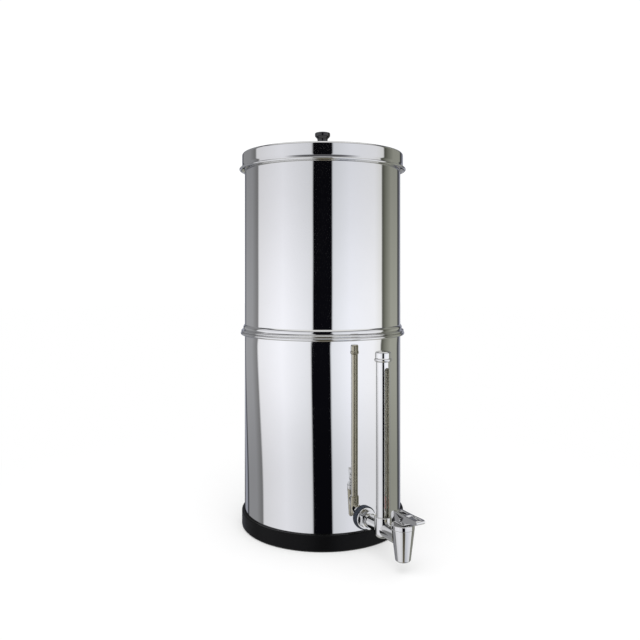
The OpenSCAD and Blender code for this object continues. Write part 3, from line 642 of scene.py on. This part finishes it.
def sleeve_polish(place):
    """Outside, the upright fittings' polish with its painted shade at the back. Inside, the tube is
    dull, brownish and streaked.
    """
    sockets = polished_fitting(place, gauge_y)
    x, y = place.axes()[:2]
    y = y - gauge_y
    inside = 1 - place.sum("SQRT", x * x + y * y).rise(7.15 * mm, 7.4 * mm)
    drawn = place.scaled(1, 1, 0.01).noise(700, 3, 0.6).rise(0.3, 0.7)
    dull = drawn.mix((0.34, 0.28, 0.17, 1), (0.70, 0.66, 0.52, 1))
    return {"Base Color": inside.mix(sockets["Base Color"], dull),
            "Metallic": 1 - inside * 0.85,
            "Roughness": sockets["Roughness"] + inside * 0.4}


def float_red(place):
    """Dark red moulded plastic with a soft gloss."""
    drift = place.noise(220, 2)
    return {"Base Color": drift.mix((0.20, 0.004, 0.008, 1), (0.32, 0.008, 0.014, 1)),
            "Roughness": drift.blend(0.18, 0.3)}


def seal_black(place):
    """Black moulded rubber."""
    grain = place.noise(1500, 2)
    return {"Base Color": grain.mix((0.010, 0.010, 0.011, 1), (0.022, 0.022, 0.022, 1)),
            "Roughness": grain.blend(0.5, 0.65),
            "Normal": place.bump(grain, 0.2, 0.03 * mm)}


clear_glass = finish("clear_glass", {"Specular IOR Level": 0.6}, drawn_glass)
sleeve_steel = finish("sleeve_steel", {}, sleeve_polish)
red_plastic = finish("red_plastic", {}, float_red)
seal_rubber = finish("seal_rubber", {}, seal_black)
dress(sleeve_steel, "gauge_sleeve")
dress(clear_glass, "gauge_glass")
dress(seal_rubber, "gauge_lower_seal", "gauge_upper_seal")
dress(red_plastic, "gauge_float")
sleeve_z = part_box("gauge_sleeve")[1].z
cap_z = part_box("gauge_cap")[1].z
cap_r, plug_r, vent_r = 9 * mm, 6.9 * mm, 1 * mm
plug_z = sleeve_z - 1 * mm
cap_round, vent_round = 2.2 * mm, 0.3 * mm
bead_r = 2.58 * mm
bead_x, bead_z = tee_r - bead_r, sleeve_z - 2.5 * mm
bead_start, bead_end = -75, math.degrees(math.acos((cap_r - bead_x) / bead_r))
neck_z, cap_mouth_z = bead_z + 2.1 * mm, bead_z - 2.49 * mm
cap_outline = np.concatenate((
    arc((bead_x, bead_z), bead_r, bead_start, bead_end, 24),
    eased([(cap_r, neck_z, 0), (cap_r, cap_z, cap_round), (vent_r, cap_z, vent_round),
           (vent_r, plug_z, 0), (plug_r, plug_z, 0), (plug_r, sleeve_z, 0),
           (socket_r, sleeve_z, 0), (socket_r, cap_mouth_z, 0)], False)))
fit(skin("gauge_cap_turning", turned(spread(cap_outline, fine_pitch), 96, (0, gauge_y))), tee_steel,
    "lower", "polished_steel", "gauge_cap")


# Upper chamber: the same sheet steel, open at both ends. A skirt nests in the lower chamber,
# a folded lip rests on its rim, and a round bead swells out above the lip. The top edge is
# eased inwards, so that the lid slips over it.
upper_low, upper_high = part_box("upper_chamber")
lip_r = 1.2 * mm
lip_mid_r = lip_r - sheet_t / 2
lip_x = upper_high.x - lip_r
skirt_gap, skirt_bend_r = 0.5 * mm, 1 * mm
skirt_r = body_r - sheet_t - skirt_gap - sheet_t / 2
valley_r = 0.6 * mm
valley_z = rim_z + lip_r + lip_mid_r + valley_r

# The bead is an arc that stands out from the wall by bulge_reach and is twice bulge_h high. It
# runs down into the valley's arc where the two touch, on the line through both centres.
bulge_h, bulge_reach = 3.8 * mm, 2 * mm
bulge_r = (bulge_h ** 2 + bulge_reach ** 2) / (2 * bulge_reach)
bulge_x, bulge_z = wall_r + bulge_reach - bulge_r, rim_z + 5.2 * mm
foot_turn = math.degrees(math.asin((valley_z - bulge_z) / (bulge_r + valley_r)))
head_turn = math.degrees(math.asin(bulge_h / bulge_r))
valley_x = bulge_x + (bulge_r + valley_r) * math.cos(math.radians(foot_turn))
mouth_r, mouth_turn = 1.4 * mm, 55
mouth_z = upper_high.z - (mouth_r + sheet_t / 2) * math.sin(math.radians(mouth_turn))
upper_path = np.concatenate((
    [[skirt_r, upper_low.z]],
    arc((skirt_r + skirt_bend_r, rim_z + sheet_t / 2 - skirt_bend_r), skirt_bend_r, 180, 90, 8),
    arc((lip_x, rim_z + lip_r), lip_mid_r, -90, 90, 14),
    arc((valley_x, valley_z), valley_r, 270, 180 + foot_turn, 8),
    arc((bulge_x, bulge_z), bulge_r, foot_turn, head_turn, 16)[1:],
    arc((wall_r - mouth_r, mouth_z), mouth_r, 0, mouth_turn, 8)))
upper_steel = finish("upper_steel", {"Metallic": 1.0}, lambda place: chamber_polish(place, rim_z))
upper_grid = turned(spread(sheet(upper_path)), wall_columns, shift=hand_polish)
fit(skin("upper_chamber_shell", upper_grid), upper_steel, "upper", "polished_steel", "upper_chamber")
dress(satin_steel, "upper_floor")


# Candles: two domed shells of fired ceramic, each glued in a black cap whose threaded stem
# goes through the floor. A rubber seal lies above the floor and a wing nut below it.
def fired_ceramic(place):
    """Unglazed off-white ceramic: chalky, with soft clouds and fine pores."""
    clouds = place.noise(28, 4, 0.6)
    pores = place.noise(1300, 3)
    return {"Base Color": clouds.mix((0.74, 0.71, 0.64, 1), (0.84, 0.82, 0.77, 1)),
            "Roughness": pores.blend(0.78, 0.95),
            "Normal": place.bump(pores, 0.35, 0.08 * mm)}


def cap_black(place):
    """Black moulded plastic with a slight sheen."""
    grain = place.noise(700, 3)
    return {"Base Color": grain.mix((0.010, 0.010, 0.011, 1), (0.02, 0.02, 0.021, 1)),
            "Roughness": grain.blend(0.3, 0.45),
            "Normal": place.bump(grain, 0.15, 0.04 * mm)}


def pressed_carbon(place):
    """Sintered carbon: matt black with a coarse grain."""
    grain = place.noise(600, 5, 0.7)
    return {"Base Color": grain.mix((0.006, 0.006, 0.006, 1), (0.03, 0.03, 0.03, 1)),
            "Roughness": grain.blend(0.8, 1.0),
            "Normal": place.bump(grain, 0.5, 0.2 * mm)}


ceramic_white = finish("ceramic_white", {}, fired_ceramic)
black_cap = finish("black_cap", {}, cap_black)
carbon_black = finish("carbon_black", {}, pressed_carbon)
candle_r, candle_wall = 28.5 * mm, 8 * mm
stem_r, stem_bore_r, stem_bore_h = 6 * mm, 2.5 * mm, 1 * mm
stem_pitch, stem_depth, plain_h = 1.75 * mm, 0.6 * mm, 3 * mm
cup_r, cup_bore_r = 30.5 * mm, 28.6 * mm
cup_floor_t, cup_h, cup_bevel = 4 * mm, 12 * mm, 1.9 * mm
stem_round, cup_foot_round = 0.8 * mm, 0.8 * mm
cup_lip_round, cup_bore_round = 0.4 * mm, 0.3 * mm
for side in ("left", "right"):
    low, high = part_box(side + "_candle_ceramic")
    candle_at = ((low.x + high.x) / 2, (low.y + high.y) / 2)
    dome_z = high.z - candle_r
    shell = np.concatenate((
        [[candle_r - candle_wall, low.z], [candle_r, low.z]],
        arc((0, dome_z), candle_r, 0, 90, 20),
        arc((0, dome_z), candle_r - candle_wall, 90, 0, 20)))
    fit(skin(side + "_candle_shell", turned(spread(shell), 96, candle_at)), ceramic_white,
        "upper", "ceramic", side + "_candle_ceramic")
    stem_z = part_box(side + "_candle_cap")[0].z
    cup_z = low.z - cup_floor_t
    cup_outline = eased([
        (0, stem_z + stem_bore_h, 0), (stem_bore_r, stem_z + stem_bore_h, 0),
        (stem_bore_r, stem_z, cup_bore_round), (stem_r, stem_z, stem_round), (stem_r, cup_z, 0),
        (cup_bore_r, cup_z, cup_foot_round), (cup_r, cup_z + cup_bevel, cup_foot_round),
        (cup_r, cup_z + cup_h, cup_lip_round), (cup_bore_r, cup_z + cup_h, cup_bore_round),
        (cup_bore_r, low.z, 0), (0, low.z, 0)])
    cup_grid = threaded(spread(cup_outline, stem_pitch / 5), stem_r, stem_pitch, stem_depth,
                        stem_z, cup_z - plain_h, 72, centre=candle_at)
    fit(skin(side + "_cap_moulding", cup_grid), black_cap,
        "upper", "cap_plastic", side + "_candle_cap")
    dress(carbon_black, side + "_candle_carbon")
dress(seal_rubber, "candle_seals")
wing_round = 0.5 * mm
fit(softened("candle_wing_nuts", wing_round), black_cap, "upper", "nut_plastic", "candle_wing_nuts")


# Lid: one pressing of the same steel. The plate turns down into a band, which flares out to a
# small roll round the edge.
lid_low, lid_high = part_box("lid")
lid_flare = 3.5 * mm
lid_mid_r = lid_high.x - lid_flare - sheet_t / 2
lid_bend_r = 2.6 * mm
lid_roll_r = 1.5 * mm
lid_roll_x = lid_high.x - lid_roll_r
plate_z = lid_high.z - sheet_t / 2
screw_hole_r = 2.75 * mm
band_z, flare_z = lid_low.z + 6.5 * mm, lid_low.z + 1.6 * mm
flare_bend_r = 6 * mm


def lid_polish(r, z, a):
    """Radius lost on the lid's band: three waves round it, as deep as polish_depth."""
    wave = np.sin(4 * a + 0.7) + 0.6 * np.sin(9 * a + z / (9 * mm)) + 0.4 * np.sin(14 * a + 2)
    on_band = np.clip(1 - np.abs(r - lid_mid_r) / mm, 0, 1)
    return (0.5 * wave / 2 - 0.5) * polish_depth * on_band


lid_path = np.concatenate((
    [[screw_hole_r, plate_z]],
    arc((lid_mid_r - lid_bend_r, plate_z - lid_bend_r), lid_bend_r, 90, 0, 10),
    eased([(lid_mid_r, plate_z - lid_bend_r, 0), (lid_mid_r, band_z, flare_bend_r),
           (lid_roll_x - lid_roll_r + sheet_t / 2, flare_z, 0)], False)[1:-1],
    arc((lid_roll_x, lid_low.z + lid_roll_r), lid_roll_r - sheet_t / 2, 180, 420, 24)))
lid_steel = finish("lid_steel", {"Metallic": 1.0}, polished)
lid_grid = turned(spread(sheet(lid_path)), wall_columns, shift=lid_polish)
fit(skin("lid_pressing", lid_grid), lid_steel, "lid", "polished_steel", "lid")


# Knob: one turning of gloss black plastic with a flared head and foot and a hollow waist,
# held by a screw and a washer from inside the lid.
def gloss_black(place):
    """Deep gloss black, with the faint ripple and fine scuffs of polished plastic."""
    ripple = place.noise(90, 2)
    scuffs = place.noise(420, 5, 0.7).rise(0.55, 0.8)
    return {"Base Color": ripple.mix((0.005, 0.005, 0.006, 1), (0.010, 0.010, 0.011, 1)),
            "Roughness": scuffs * 0.06 + 0.05,
            "Normal": place.bump(ripple, 0.1, 0.05 * mm)}


knob_black = finish("knob_black", {"Coat Weight": 0.5, "Coat Roughness": 0.03}, gloss_black)
foot_z, knob_z = lid_high.z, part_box("lid_knob")[1].z
knob_head_r, knob_neck_r, knob_foot_r = 10 * mm, 6.7 * mm, 9.5 * mm
foot_h, flare_h = 1.5 * mm, 5 * mm
head_low_z = knob_z - 9.8 * mm
crown_h, crown_edge_r = 0.8 * mm, 1.4 * mm
insert_r, insert_z = 2.55 * mm, foot_z + 15 * mm

# From the neck the radius swells to the foot and to the head on half a cosine wave each. The
# crown is an arc through the middle that rises by crown_h and runs into its rounded edge.
u = np.linspace(0, 1, 13)
waist_low = np.stack((knob_neck_r + (knob_foot_r - knob_neck_r) * (1 + np.cos(np.pi * u)) / 2,
                      foot_z + foot_h + flare_h * u), 1)
waist_high = np.stack((knob_neck_r + (knob_head_r - knob_neck_r) * (1 - np.cos(np.pi * u)) / 2,
                       head_low_z + flare_h * u), 1)
crown_r = (knob_head_r ** 2 + crown_h ** 2) / (2 * crown_h)
crown_edge_x = knob_head_r - crown_edge_r
crown_turn = math.degrees(math.asin(crown_edge_x / crown_r))
knob_outline = np.concatenate((
    [[insert_r, foot_z], [knob_foot_r, foot_z]], waist_low, waist_high,
    arc((crown_edge_x, knob_z - crown_h - crown_edge_r), crown_edge_r, 0, 90 - crown_turn, 10),
    arc((0, knob_z - crown_r), crown_r, 90 - crown_turn, 90, 8)[1:],
    [[0, insert_z], [insert_r, insert_z]]))
fit(skin("knob_turning", turned(spread(knob_outline, fine_pitch), 96)), knob_black,
    "lid", "knob_plastic", "lid_knob")
dress(satin_steel, "knob_washer", "knob_screw")


# Studio: a plain white floor that fades into a white background, and one large soft light
# above. The steel mirrors a room that nothing else sees: pale walls on the camera's side with
# a dark gap between them, and grey and olive walls behind the object.
def disc(name, radius, rings=24, columns=96):
    """A flat round sheet: rings of points about the origin, closed at the middle. A ring's
    radius is the full one times the square of its share of the way out."""
    r = np.linspace(0, 1, rings) ** 2 * radius
    a = np.linspace(0, 2 * np.pi, columns, endpoint=False)
    grid = np.stack((r[:, None] * np.cos(a), r[:, None] * np.sin(a), 0 * r[:, None] * a), axis=-1)
    index = np.arange(rings * columns).reshape(rings, columns)
    beside = np.roll(index, -1, 1)
    quads = np.stack((index[:-1], index[1:], beside[1:], beside[:-1]), -1)
    mesh = bpy.data.meshes.new(name)
    mesh.from_pydata(grid.reshape(-1, 3).tolist(), [], quads.reshape(-1, 4).tolist())
    piece = bpy.data.objects.new(name, mesh)
    bpy.context.scene.collection.objects.link(piece)
    return piece


floor_r = 6.0
floor = disc("studio_floor", floor_r)
white_floor = bpy.data.materials.new("white_floor")
white_floor.use_nodes = True
floor_tree = white_floor.node_tree
floor_tree.nodes.clear()
start = Wire(floor_tree)
x, y = start.node("ShaderNodeTexCoord", out=3).axes()[:2]
away = start.sum("SQRT", x * x + y * y)
lit = start.node("ShaderNodeBsdfDiffuse", None, {"Color": (0.9, 0.9, 0.9, 1)})
glow = start.node("ShaderNodeEmission", None, {"Color": (1, 1, 1, 1), "Strength": 1.0})
camera_ray = start.node("ShaderNodeLightPath")
fade_start, fade_end = 0.14, 0.6
share = away.rise(fade_start, fade_end).blend(0.38, 1.0) * camera_ray
surface = start.node("ShaderNodeMixShader", None, {0: share, 1: lit, 2: glow})
output = floor_tree.nodes.new("ShaderNodeOutputMaterial")
floor_tree.links.new(surface.socket, output.inputs["Surface"])
floor.data.materials.append(white_floor)
floor.visible_glossy = False

softbox = bpy.data.lights.new("softbox", "AREA")
softbox.shape, softbox.size, softbox.energy = "DISK", 1.6, 12.0
softbox_object = bpy.data.objects.new("softbox", softbox)
softbox_object.location = (-0.5, -0.9, 1.7)
softbox_aim = Vector((0, 0, 0.3)) - softbox_object.location
softbox_object.rotation_euler = softbox_aim.to_track_quat("-Z", "Y").to_euler()
softbox_object.visible_glossy = False
bpy.context.scene.collection.objects.link(softbox_object)

world = bpy.data.worlds.new("studio")
bpy.context.scene.world = world
world.use_nodes = True
world_tree = world.node_tree
world_tree.nodes.clear()
start = Wire(world_tree)
way = start.node("ShaderNodeTexCoord", out=0)


def along(direction):
    """How far a way into the room runs along a direction: their dot product."""
    links = {0: way, 1: tuple(direction)}
    return way.node("ShaderNodeVectorMath", {"operation": "DOT_PRODUCT"}, links, 1)


# The walls' edges aren't upright: a little below eye level they step aside by step_turn and
# drift back further down, and those left of the dark gap spread out as they come down.
ahead, aside = along(towards_camera), along(camera_right)
turn = start.sum("ARCTAN2", aside, ahead)
z = way.axes()[2]
low = 0 - z
step_turn, drift_turn, gap_turn = math.radians(2.8), math.radians(14.4), math.radians(16)
lean = low.rise(0.09, 0.11) * (step_turn - (low - 0.1) * drift_turn)
spread_out = low.rise(0.09, 0.32).blend(-0.03, 0.11)
lean = lean + start.sum("MINIMUM", turn + gap_turn, 0.0) * spread_out
bearing = (turn + lean) / (2 * math.pi) + 0.5


def ring_of(colours):
    """Colours round the room, from straight behind the object over the left, the camera's side
    and the right: pairs of degrees from the camera's side and a colour."""
    return bearing.node("ShaderNodeValToRGB", {"stops": [(0.5 + a / 360, c) for a, c in colours]},
                        {"Fac": bearing})


dark_gap, edge, line = (0.003, 0.003, 0.0045), (0.10, 0.10, 0.11), (0.06, 0.062, 0.07)
lavender, grey, olive = (0.35, 0.36, 0.42), (0.32, 0.323, 0.34), (0.34, 0.345, 0.30)
walls = ring_of([
    (-180, edge), (-175, edge), (-170, lavender), (-157, lavender), (-154, line), (-151, line),
    (-147, grey), (-120, grey), (-105, (0.20, 0.20, 0.205)), (-102, (0.86, 0.86, 0.90)),
    (-57, (0.99, 0.995, 1.06)), (-20, (0.84, 0.85, 0.90)), (-14.3, (0.80, 0.81, 0.85)),
    (-13.3, dark_gap), (13.3, dark_gap), (14.3, (0.80, 0.82, 0.87)), (40, (0.94, 0.955, 1.03)),
    (80, (0.95, 0.955, 1.0)), (94, (0.84, 0.84, 0.84)), (96, (0.075, 0.078, 0.062)),
    (104, (0.19, 0.195, 0.165)), (118, olive), (140, olive), (144, line), (150, line),
    (156, lavender), (168, lavender), (175, edge), (180, edge)])
ground = ring_of([
    (-180, (0.42, 0.42, 0.40)), (-100, (0.52, 0.52, 0.52)), (-60, (0.76, 0.76, 0.78)),
    (-24, (0.68, 0.67, 0.66)), (-14, (0.30, 0.27, 0.20)), (14, (0.32, 0.29, 0.22)),
    (24, (0.17, 0.20, 0.27)), (50, (0.20, 0.23, 0.30)), (72, (0.62, 0.63, 0.66)),
    (110, (0.48, 0.48, 0.45)), (180, (0.42, 0.42, 0.40))])

# The walls are brightest just below eye level. Low down behind the object lies its lit table,
# and above the walls come a dark cornice and a pale ceiling. The ground begins where a way
# points steeply down, and it is dark straight below.
light = z.rise(-0.29, -0.13).blend(0.90, 1.13) * z.rise(-0.10, 0.17).blend(1.0, 0.76)
light = start.node("ShaderNodeCombineXYZ", None, {0: light, 1: light, 2: light})
room = walls.node("ShaderNodeVectorMath", {"operation": "MULTIPLY"}, {0: walls, 1: light})
behind = (0 - ahead).rise(0.93, 0.99) * low.rise(0.1, 0.3)
room = behind.mix(room, (0.72, 0.71, 0.68, 1))
room = z.rise(0.56, 0.62).mix(room, (0.10, 0.10, 0.11, 1))
room = z.rise(0.72, 0.80).mix(room, (0.85, 0.85, 0.85, 1))
room = low.rise(0.50, 0.72).mix(room, ground)
room = low.rise(0.90, 0.99).mix(room, (0.10, 0.10, 0.10, 1))
mirrored = start.node("ShaderNodeLightPath", out="Is Glossy Ray")
colour = mirrored.mix((1.05, 1.05, 1.05, 1), room)
background = start.node("ShaderNodeBackground", None, {"Color": colour, "Strength": 1.0})
output = world_tree.nodes.new("ShaderNodeOutputWorld")
world_tree.links.new(background.socket, output.inputs["Surface"])

bpy.context.scene.view_settings.view_transform = "Standard"
